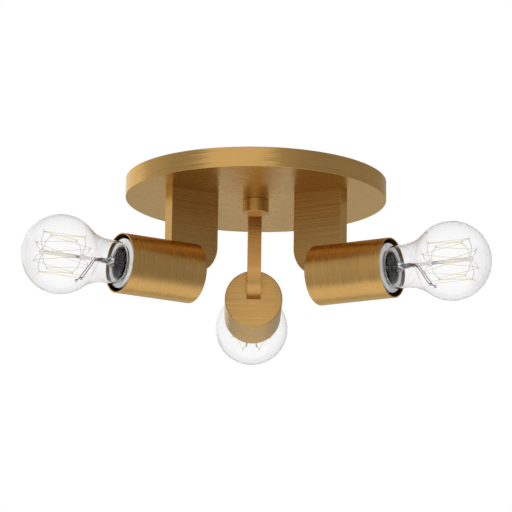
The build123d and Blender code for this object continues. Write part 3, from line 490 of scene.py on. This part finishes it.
for arm, turn in ARMS.items():
    outward = (math.cos(turn), math.sin(turn), 0)
    cup_brass = brushed_brass(
        arm + " cup brass", axis=0, across=outward, turn=turn, length=0.012, shade=0.98, swing=0.06,
        tip=0.03, end_facing=outward, end_axis=2, end_across=(0, 0, 1), end_width=0.0016,
        end_length=0.03, end_shade=0.96, end_swing=0.17)
    tree = cup_brass.node_tree
    # Inside the bore the brass is darkened strongly: painted shade.
    inside = reckon(tree, "MULTIPLY",
                    reckon(tree, "GREATER_THAN", along(tree, outward), CUP_FLOOR_X),
                    reckon(tree, "LESS_THAN", off_axis(tree, turn), CUP_BORE_R))
    shade_painted_inside(tree, inside, share=0.16, roughness=0.55)
    softened(arm + "_cup", 0.18, cup_brass)


# --- Socket bodies ----------------------------------------------------------------------------
# Each socket is a barrel of white glazed porcelain, pressed and fired in one piece, with a deep
# bore for the lamp. Two screws hold it to the T plate on the arm's edge.

porcelain, tree, shader = finish_of("glazed porcelain", Coat_Weight=0.7, Coat_Roughness=0.06)
wave = grain(tree, (0.005, 0.005, 0.005), detail=2.0)
speck = grain(tree, (0.0006, 0.0006, 0.0006), detail=2.0)
tone = reckon(tree, "MULTIPLY", between(tree, wave, 0.97, 1.02),
              between(tree, speck, 0.95, 1.0, 0.28, 0.36))
put(tree, shader.inputs["Base Color"], shaded(tree, (0.80, 0.80, 0.79), tone))
put(tree, shader.inputs["Roughness"], between(tree, wave, 0.3, 0.4))
put(tree, shader.inputs["Normal"], bumped(tree, wave, 0.00006))
dress(porcelain, *[arm + "_socket_body" for arm in ARMS])


# --- Screw shells -----------------------------------------------------------------------------
# A thin shell with a rolled thread lines the bore of each socket and carries the lamp. Its foot
# is riveted to the floor of the porcelain.

LAMP_PITCH, THREAD_FADE = 3.629, 1.2
SHELL_FRONT, SHELL_BACK, SHELL_GROOVE_R, SHELL_T = 116.9, 90.45, 13.42, 0.25
SHELL_THREAD_START, SHELL_THREAD_END, SHELL_THREAD_DEPTH = 91.45, 116.4, 0.77
SHELL_FOOT, SHELL_FOOT_X, SHELL_FOOT_Y = (0.3, 6.6, 5.0), 90.6, -10.2


def arm_place(bm, turn):
    """Turns a piece that was made along +X to its arm."""
    bmesh.ops.rotate(bm, verts=bm.verts, cent=(0, 0, 0), matrix=Matrix.Rotation(turn, 3, "Z"))


def about_lamp(points):
    """Outline of (x, radius) in millimetres as points above a lamp's axis."""
    return [(MM * x, 0, AXIS_Z + MM * r) for x, r in points]


shell_metal = patterned("rolled shell", (0.42, 0.42, 0.43), (0.004, 0.004, 0.004), (0.85, 1.1),
                        (0.26, 0.4), detail=5.0, Metallic=1.0)
for arm, turn in ARMS.items():
    rows = stepped(SHELL_BACK + 0.4, SHELL_FRONT, 64)
    bm = turned(about_lamp([(x, SHELL_GROOVE_R) for x in rows]
                           + [(x, SHELL_GROOVE_R + SHELL_T) for x in reversed(rows)]),
                (0, 0, AXIS_Z), (1, 0, 0), 64)
    thread(bm, 0, (0, 0, AXIS_Z), LAMP_PITCH, SHELL_THREAD_DEPTH, SHELL_THREAD_START,
           SHELL_THREAD_END, THREAD_FADE)
    foot = bmesh.ops.create_cube(bm, size=MM)["verts"]
    bmesh.ops.scale(bm, verts=foot, vec=SHELL_FOOT)
    bmesh.ops.translate(bm, verts=foot, vec=(MM * SHELL_FOOT_X, MM * SHELL_FOOT_Y, AXIS_Z))
    arm_place(bm, turn)
    finished(bm, arm + "_shell_threaded", [shell_metal], arm + "_screw_shell",
             smooth_below=60)


# --- Lamp caps --------------------------------------------------------------------------------
# The cap of each lamp is thin nickelled brass with a rolled thread, crimped over the neck of
# the glass and filled with dark basing cement at its edge.

CAP_RIM, CAP_END, CAP_R, CAP_WALL, NECK_HOLE_R = 117.8, 97.15, 13.05, 0.3, 11.0
CAP_THREAD_START, CAP_THREAD_END, CAP_THREAD_DEPTH, CEMENT_START = 98.1, 111.5, 0.72, 98.0

cap_metal = patterned("nickelled cap", (0.66, 0.65, 0.63), (0.003, 0.003, 0.003), (0.88, 1.06),
                      (0.2, 0.34), detail=5.0, Metallic=1.0)
cement = patterned("basing cement", (0.022, 0.019, 0.017), (0.0005, 0.0005, 0.0005), (0.5, 1.6),
                   (0.75, 0.95), detail=5.0, depth=0.00008, Specular_IOR_Level=0.2)
for arm, turn in ARMS.items():
    rows = stepped(CAP_END + 0.95, CAP_RIM - 0.2, 56)
    bm = turned(about_lamp(
        [(CAP_END, NECK_HOLE_R), (CAP_END, CAP_R - 0.8), (CAP_END + 0.25, CAP_R - 0.25)]
        + [(x, CAP_R) for x in rows] + [(CAP_RIM, CAP_R - 0.15)]
        + [(x, CAP_R - CAP_WALL) for x in reversed(rows)]
        + [(CAP_END + 0.3, CAP_R - 0.95), (CAP_END + 0.3, NECK_HOLE_R)]),
        (0, 0, AXIS_Z), (1, 0, 0), 64)
    thread(bm, 0, (0, 0, AXIS_Z), LAMP_PITCH, CAP_THREAD_DEPTH, CAP_THREAD_START, CAP_THREAD_END,
           THREAD_FADE, inside=12.4)

    # Cement fills the cap up to its inner wall, which shows through the shoulder of the glass.
    for face in bm.faces:
        middle = face.calc_center_median() - Vector((0, 0, AXIS_Z))
        wall = Vector((0, middle.y, middle.z))
        if face.normal.dot(wall) < 0 and middle.x > MM * CEMENT_START:
            face.material_index = 1
    arm_place(bm, turn)
    finished(bm, arm + "_cap_threaded", [cap_metal, cement], arm + "_lamp_cap",
             smooth_below=60)


# --- Lamp insulators and contacts -------------------------------------------------------------
# Black glass is fused into the end of each cap and keeps it apart from the centre contact,
# which is a disc of tinned brass with a blob of solder.

black_glass = patterned("black glass", (0.012, 0.012, 0.016), (0.003, 0.003, 0.003), (0.7, 1.4),
                        (0.08, 0.2), detail=3.0, depth=0.00012, Coat_Weight=0.5,
                        Coat_Roughness=0.05)
solder = patterned("tinned contact", (0.60, 0.59, 0.57), (0.0022, 0.0022, 0.0022), (0.8, 1.1),
                   (0.22, 0.45), depth=0.00025, Metallic=1.0)
for arm in ARMS:
    dress(black_glass, arm + "_lamp_insulator")
    dress(solder, arm + "_lamp_contact")


# --- Lamp glass -------------------------------------------------------------------------------
# The envelope of each lamp is blown clear glass 0.7 mm thick: a globe that runs through a hollow
# curve into the neck, with a collar inside the cap.

GLOBE_X, GLOBE_R, NECK_R, CURVE_R, CURVE_X = 168.75, 29.8, 16.4, 33.8, 129.70
SHOULDER_X, SHOULDER_R, COLLAR_R, COLLAR_END, GLASS_T = 118.55, 3.6, 12.6, 111.5, 0.7
GLOBE_STEPS, CURVE_STEPS, SHOULDER_STEPS, ROUND_STEPS = 84, 28, 10, 192

clear_glass, tree, shader = finish_of("clear glass", Roughness=0.0, IOR=1.3,
                                      Transmission_Weight=1.0, Coat_Weight=0.2,
                                      Coat_Roughness=0.0, Coat_IOR=1.5)
blown = grain(tree, (0.02, 0.02, 0.02), detail=2.0)
# The glass is painted greyer where its wall is seen at a slant: painted shade for the darker
# reflections there, besides the longer path through the glass.
painted_slant_shade = node(tree, "LayerWeight", {"Blend": 0.5})["Facing"]
painted_slant_shade = reckon(tree, "MULTIPLY", painted_slant_shade, painted_slant_shade)
put(tree, shader.inputs["Base Color"],
    mixed(tree, "RGBA", painted_slant_shade, (0.985, 0.985, 0.987, 1), (0.76, 0.755, 0.75, 1)))
put(tree, shader.inputs["Normal"], bumped(tree, blown, 0.00006))


def swung(bm, last, centre, degrees, steps):
    """Carries an outline on along an arc round a centre, and returns its new last point."""
    made = bmesh.ops.spin(bm, geom=[last], cent=about_lamp([centre])[0],
                          axis=(0, -1, 0), angle=math.radians(degrees), steps=steps)
    return next(item for item in made["geom_last"] if isinstance(item, bmesh.types.BMVert))


def drawn(bm, last, point):
    """Carries an outline on in a straight line to a point."""
    new = bmesh.ops.extrude_vert_indiv(bm, verts=[last])["verts"][0]
    new.co = about_lamp([point])[0]
    return new


# The globe meets the hollow curve where the line between their centres crosses both.
meeting = math.degrees(math.atan2(NECK_R + CURVE_R, CURVE_X - GLOBE_X))
for arm, turn in ARMS.items():
    bm = bmesh.new()
    last = bm.verts.new(about_lamp([(GLOBE_X + GLOBE_R, 0)])[0])
    last = swung(bm, last, (GLOBE_X, 0), meeting, GLOBE_STEPS)
    last = swung(bm, last, (CURVE_X, NECK_R + CURVE_R), 90 - meeting, CURVE_STEPS)
    last = drawn(bm, last, (SHOULDER_X + SHOULDER_R, NECK_R))
    last = swung(bm, last, (SHOULDER_X + SHOULDER_R, NECK_R - SHOULDER_R), 90, SHOULDER_STEPS)
    last = drawn(bm, last, (SHOULDER_X, COLLAR_R))
    last = drawn(bm, last, (COLLAR_END, COLLAR_R))
    bmesh.ops.spin(bm, geom=bm.verts[:] + bm.edges[:], cent=(0, 0, AXIS_Z), axis=(1, 0, 0),
                   angle=2 * math.pi, steps=ROUND_STEPS, use_merge=True)
    bmesh.ops.remove_doubles(bm, verts=bm.verts, dist=1e-6)
    bmesh.ops.recalc_face_normals(bm, faces=bm.faces)
    arm_place(bm, turn)
    piece = finished(bm, arm + "_glass_blown", [clear_glass], arm + "_lamp_glass",
                     smooth_below=60)
    wall = piece.modifiers.new("wall of the glass", "SOLIDIFY")
    wall.thickness, wall.offset, wall.use_even_offset = MM * GLASS_T, -1, True


# --- Lamp stems -------------------------------------------------------------------------------
# Inside each lamp stands a stem drawn from glass tube: a flare, pressed flat round the lead
# wires, then a rod, thicker towards the tip, with two hubs that carry the hooks.

STEM_X, STEM_FLARE_L, STEM_FLARE_R, STEM_TUBE_R, STEM_WALL = 113.0, 8, 11.7, 4.2, 0.8
PRESS_END_X, ROD_R, ROD_TIP_R, HUB_R, CAP_HUB_X, TIP_HUB_X = 136.85, 1.3, 1.7, 2.2, 150.85, 184.15
PRESS_GLASS_X, ROD_GLASS_X, STEM_WAVE = 126.5, 137.2, 0.0001

clear_stem = []
for name, tint, density, gloss in (("stem tube glass", 0.93, 1.04, 0.5),
                                   ("pressed glass", 0.95, 1.45, 0.3)):
    glass, tree, shader = finish_of(name, Base_Color=(tint, tint, tint, 1), Roughness=0.02,
                                    IOR=density, Specular_IOR_Level=gloss,
                                    Transmission_Weight=1.0)
    waves = grain(tree, (0.003, 0.003, 0.003), detail=2.0)
    put(tree, shader.inputs["Normal"], bumped(tree, waves, STEM_WAVE))
    clear_stem.append(glass)
rod_glass, tree, shader = finish_of("rod glass", Roughness=0.2, IOR=1.3, Transmission_Weight=0.75)
seed = grain(tree, (0.004, 0.004, 0.004), detail=3.0)
put(tree, shader.inputs["Base Color"],
    shaded(tree, (0.96, 0.92, 0.87), between(tree, seed, 0.92, 1.03)))
put(tree, shader.inputs["Normal"], bumped(tree, seed, STEM_WAVE))


def pulled(rings, segments):
    """Glass drawn out along +X through rings of (x, half width, half height) in millimetres."""
    bm = bmesh.new()
    x, wide, high = rings[0]
    ring = bmesh.ops.create_circle(bm, segments=segments, radius=MM,
                                   matrix=Matrix.Rotation(math.pi / 2, 4, "Y"))["verts"]
    bmesh.ops.scale(bm, verts=ring, vec=(1, wide, high))
    bmesh.ops.translate(bm, verts=ring, vec=(MM * x, 0, 0))
    edges = bm.edges[:]
    for next_x, next_wide, next_high in rings[1:]:
        grown = bmesh.ops.extrude_edge_only(bm, edges=edges)["geom"]
        ring = [item for item in grown if isinstance(item, bmesh.types.BMVert)]
        edges = [item for item in grown if isinstance(item, bmesh.types.BMEdge)]
        bmesh.ops.scale(bm, verts=ring, vec=(1, next_wide / wide, next_high / high))
        bmesh.ops.translate(bm, verts=ring, vec=(MM * (next_x - x), 0, 0))
        x, wide, high = next_x, next_wide, next_high
    bmesh.ops.holes_fill(bm, edges=bm.edges, sides=segments)
    bmesh.ops.recalc_face_normals(bm, faces=bm.faces)
    bmesh.ops.translate(bm, verts=bm.verts, vec=(0, 0, AXIS_Z))
    return bm


# The rings go up inside the flare from its closed end, round its lip, and then up outside.
flare = [(STEM_X + STEM_FLARE_L * share,
          STEM_TUBE_R + (STEM_FLARE_R - STEM_TUBE_R) * (1 - share)**2.4)
         for share in stepped(0, 1, 12)]
rings = [(x, r, r) for x, r in [(126.2, 0.3), (126.0, 2.0), (125.0, 3.2)]]
rings += [(x, r - STEM_WALL, r - STEM_WALL) for x, r in reversed(flare)]
rings += [(STEM_X - 0.2, STEM_FLARE_R - STEM_WALL / 2, STEM_FLARE_R - STEM_WALL / 2)]
rings += [(x, r, r) for x, r in flare]

# Above the tube come the flat press, the neck where the rod leaves it, and the rod's two hubs.
rings += [(126.0, 4.2, 4.2), (127.2, 4.4, 3.4), (128.4, 4.7, 2.1), (129.6, 4.75, 1.6),
          (135.4, 4.75, 1.6), (136.3, 4.3, 1.5), (137.0, 2.8, 1.4), (137.8, 1.7, 1.35),
          (139.0, ROD_R, ROD_R)]
rings += [(CAP_HUB_X + x, r, r) for x, r in [(-1.5, ROD_R), (-1.1, 1.9), (-0.7, HUB_R),
                                              (0.7, HUB_R), (1.1, 1.9), (1.5, ROD_R)]]
rings += [(166.5, ROD_R, ROD_R), (168.5, 1.45, 1.45), (171.0, ROD_TIP_R, ROD_TIP_R)]
rings += [(TIP_HUB_X - HUB_R * math.cos(angle), HUB_R * math.sin(angle), HUB_R * math.sin(angle))
          for angle in stepped(0.89, 3.05, 14)]
for arm, turn in ARMS.items():
    bm = pulled(rings, 32)
    for face in bm.faces:
        x = face.calc_center_median().x / MM
        face.material_index = int(x > PRESS_GLASS_X) + int(x > ROD_GLASS_X)
    arm_place(bm, turn)
    finished(bm, arm + "_stem_drawn", [*clear_stem, rod_glass], arm + "_lamp_stem",
             smooth_below=60)


# --- Supports, filament and lead wires --------------------------------------------------------
# Grey wires stand out from the hubs, each bent into a hook. One pale filament zigzags over all
# the hooks, and two copper coated wires bring the current through the press.

LEAD_TIP_X, LEAD_TIP_R, LEAD_TIP_ANGLE, LOOP_R, LOOP_WIRE_R = 153.0, 17.8, 12.86, 0.8, 0.3
COIL_SWELL = 0.07

support_wire = patterned("grey support wire", (0.56, 0.56, 0.57), (0.001, 0.001, 0.001),
                         (0.8, 1.2), (0.3, 0.5), Metallic=0.6)
filament_wire = patterned("pale filament", (0.98, 0.92, 0.58), (0.0004, 0.0004, 0.0004),
                          (0.94, 1.02), (0.5, 0.7), Specular_IOR_Level=0.3)
for arm, turn in ARMS.items():
    dress(support_wire, arm + "_lamp_supports")

    # The lead wires are nickel up to the end of the press and copper coated beyond it.
    lead_wire, tree, shader = finish_of(arm + " lead wire", Metallic=0.9)
    oxide = grain(tree, (0.0015, 0.0015, 0.0015))
    beyond = reckon(tree, "GREATER_THAN", along(tree, (math.cos(turn), math.sin(turn), 0)),
                    MM * PRESS_END_X)
    metal = mixed(tree, "RGBA", beyond, (0.40, 0.39, 0.38, 1), (0.17, 0.05, 0.035, 1))
    put(tree, shader.inputs["Base Color"],
        mixed(tree, "RGBA", 1.0, metal, between(tree, oxide, 0.7, 1.3), blend_type="MULTIPLY"))
    put(tree, shader.inputs["Roughness"], between(tree, oxide, 0.2, 0.36))
    dress(lead_wire, arm + "_lamp_lead_wires")

    # The filament is a fine close coil, so it looks thicker than its wire.
    bm = bmesh.new()
    bm.from_mesh(frame["nodes"][arm + "_lamp_filament"].data)
    bmesh.ops.remove_doubles(bm, verts=bm.verts, dist=1e-6)
    bm.normal_update()
    for vert in bm.verts:
        vert.co += MM * COIL_SWELL * vert.normal
    finished(bm, arm + "_filament_coiled", [filament_wire], arm + "_lamp_filament",
             smooth_below=80)

    # Each lead wire ends in a small loop, bent round the filament's end.
    bm = bmesh.new()
    for side in (-1, 1):
        circle = bmesh.ops.create_circle(bm, segments=8, radius=MM * LOOP_WIRE_R)["verts"]
        bmesh.ops.translate(bm, verts=circle, vec=(MM * LOOP_R, 0, 0))
        edges = {edge for vert in circle for edge in vert.link_edges}
        before = set(bm.verts)
        bmesh.ops.spin(bm, geom=[*circle, *edges], cent=(0, 0, 0), axis=(0, 1, 0),
                       angle=2 * math.pi, steps=20, use_merge=True)
        loop = [vert for vert in bm.verts if vert not in before or vert in circle]
        tilt = math.radians(side * LEAD_TIP_ANGLE)
        bmesh.ops.translate(bm, verts=loop, vec=(MM * LEAD_TIP_X, 0, -MM * LEAD_TIP_R))
        bmesh.ops.rotate(bm, verts=loop, cent=(0, 0, 0), matrix=Matrix.Rotation(-tilt, 3, "X"))
    bmesh.ops.remove_doubles(bm, verts=bm.verts, dist=1e-7)
    bmesh.ops.translate(bm, verts=bm.verts, vec=(0, 0, AXIS_Z))
    bmesh.ops.recalc_face_normals(bm, faces=bm.faces)
    arm_place(bm, turn)
    finished(bm, arm + "_lead_loops", [lead_wire], arm + "_lamp_lead_wires",
             smooth_below=80, stands_for=False)


# --- Studio -----------------------------------------------------------------------------------
# A white floor three metres below, a white studio round it, one soft lamp for the pale pieces,
# and grey cards that only gloss shows. They give the brass its dark and light zones.

world = bpy.data.worlds.new("studio")
bpy.context.scene.world = world
world.use_nodes = True
tree = world.node_tree


def seen_directly(tree):
    """1 for what the camera sees, also in metal and through glass, and 0 for the light."""
    path = node(tree, "LightPath")
    seen = reckon(tree, "MAXIMUM", path["Is Camera Ray"], path["Is Glossy Ray"])
    return reckon(tree, "MAXIMUM", seen, path["Is Transmission Ray"])


put(tree, tree.nodes["Background"].inputs["Strength"],
    between(tree, seen_directly(tree), 0.75, 1.0, 0, 1))
tree.nodes["Background"].inputs["Color"].default_value = (1, 1, 1, 1)

FLOOR_SIZE, FLOOR_Z = 40, -3
paint, tree, shader = finish_of("floor paint", Base_Color=(0.8, 0.8, 0.8, 1), Roughness=0.9,
                                Emission_Color=(1, 1, 1, 1))
put(tree, shader.inputs["Emission Strength"], between(tree, seen_directly(tree), 0.0, 0.36, 0, 1))
bm = bmesh.new()
bmesh.ops.create_grid(bm, x_segments=1, y_segments=1, size=FLOOR_SIZE)
bmesh.ops.translate(bm, verts=bm.verts, vec=(0, 0, FLOOR_Z))
floor = placed(bm, "floor", [paint])

NEAR, FAR, CARD_FLOOR = 1.6, 3.2, -2.95
CARDS = {
    # azimuth in degrees from and to (0 is the camera's side, turning right), the two ends of its
    # section as (distance, height), and its brightness from FAR outwards and from NEAR inwards
    "front_right_card": (13, 34, (FAR, CARD_FLOOR), (FAR, 2.2), 0.46, 0.46),
    "right_card": (34, 150, (FAR, CARD_FLOOR), (FAR, 2.2), 0.36, 0.36),
    "back_card": (150, 188, (FAR, -0.6), (FAR, 2.2), 0.42, 0.42),
    "back_end_card": (188, 222, (FAR, -0.6), (FAR, 0.2), 0.42, 0.42),
    "low_back_card": (140, 226, (FAR, CARD_FLOOR), (FAR, -0.6), 0.65, 0.65),
    "back_left_card": (245, 275, (FAR, CARD_FLOOR), (FAR, 2.2), 0.55, 0.55),
    "left_card": (275, 312, (FAR, CARD_FLOOR), (FAR, 2.2), 0.45, 0.45),
    "right_floor_card": (13, 85, (1.2, CARD_FLOOR), (FAR, CARD_FLOOR), 0.36, 0.86),
    "back_floor_card": (85, 245, (2.4, CARD_FLOOR), (FAR, CARD_FLOOR), 0.34, 0.42),
    "left_floor_card": (245, 312, (2.2, CARD_FLOOR), (FAR, CARD_FLOOR), 0.46, 1.0),
    "low_front_card": (-48, 13, (FAR, CARD_FLOOR), (FAR, -0.45), 0.82, 0.82),
    "front_floor_card": (-48, 13, (1.2, CARD_FLOOR), (FAR, CARD_FLOOR), 0.55, 0.70),
    "top_card": (0, 360, (0.05, 2.25), (FAR, 2.25), 0.38, 0.38),
}
for name, (start, stop, *ends, far_glow, near_glow) in CARDS.items():
    bm = bmesh.new()
    angle = math.radians(start)
    first = [bm.verts.new((away * math.sin(angle), -away * math.cos(angle), z))
             for away, z in ends]
    edge = bm.edges.new(first)
    bmesh.ops.spin(bm, geom=[*first, edge], axis=(0, 0, 1), cent=(0, 0, 0), steps=24,
                   angle=math.radians(stop - start))
    grey, tree, shader = finish_of(name)
    tree.nodes.remove(shader)
    strength = between(tree, reach(tree), near_glow, far_glow, NEAR, FAR)
    glow = node(tree, "Emission", {"Color": (1, 1, 1, 1), "Strength": strength})["Emission"]
    put(tree, tree.nodes["Material Output"].inputs["Surface"], glow)
    card = placed(bm, name, [grey])
    card.visible_camera = card.visible_diffuse = False
    card.visible_transmission = card.visible_shadow = False

lamp = bpy.data.lights.new("soft lamp", "AREA")
lamp.energy, lamp.size = 45, 1.6
soft_lamp = bpy.data.objects.new("soft_lamp", lamp)
soft_lamp.location = (-0.9, -2.6, 1.2)
soft_lamp.rotation_euler = (-soft_lamp.location).to_track_quat("-Z", "Y").to_euler()
soft_lamp.visible_glossy = soft_lamp.visible_camera = soft_lamp.visible_transmission = False
bpy.context.scene.collection.objects.link(soft_lamp)


# --- Camera -----------------------------------------------------------------------------------
# It stands where the photograph was taken from: in front, 2.3 m away and a little below. Yaw,
# pitch and roll come from a camera fitted to the outlines in the photograph.

YAW, PITCH, ROLL = math.radians(-0.685), math.radians(-13.627), math.radians(0.833)
DISTANCE, AIM_Z = 2.2664, -0.0581

back = Vector((math.sin(YAW) * math.cos(PITCH), -math.cos(YAW) * math.cos(PITCH), math.sin(PITCH)))
right = (-back).cross(Vector((0, 0, 1))).normalized()
up = right.cross(-back)
right_rolled = right * math.cos(ROLL) + up * math.sin(ROLL)
up_rolled = up * math.cos(ROLL) - right * math.sin(ROLL)
camera = bpy.data.cameras.new("camera")
camera.lens = 205.2
camera.shift_x, camera.shift_y = 0.0018, -0.0039
camera_place = bpy.data.objects.new("camera", camera)
camera_place.matrix_world = (Matrix.Translation(Vector((0, 0, AIM_Z)) + back * DISTANCE)
                             @ Matrix((right_rolled, up_rolled, back)).transposed().to_4x4())
bpy.context.scene.collection.objects.link(camera_place)
bpy.context.scene.camera = camera_place
bpy.context.scene.view_settings.view_transform = "Standard"
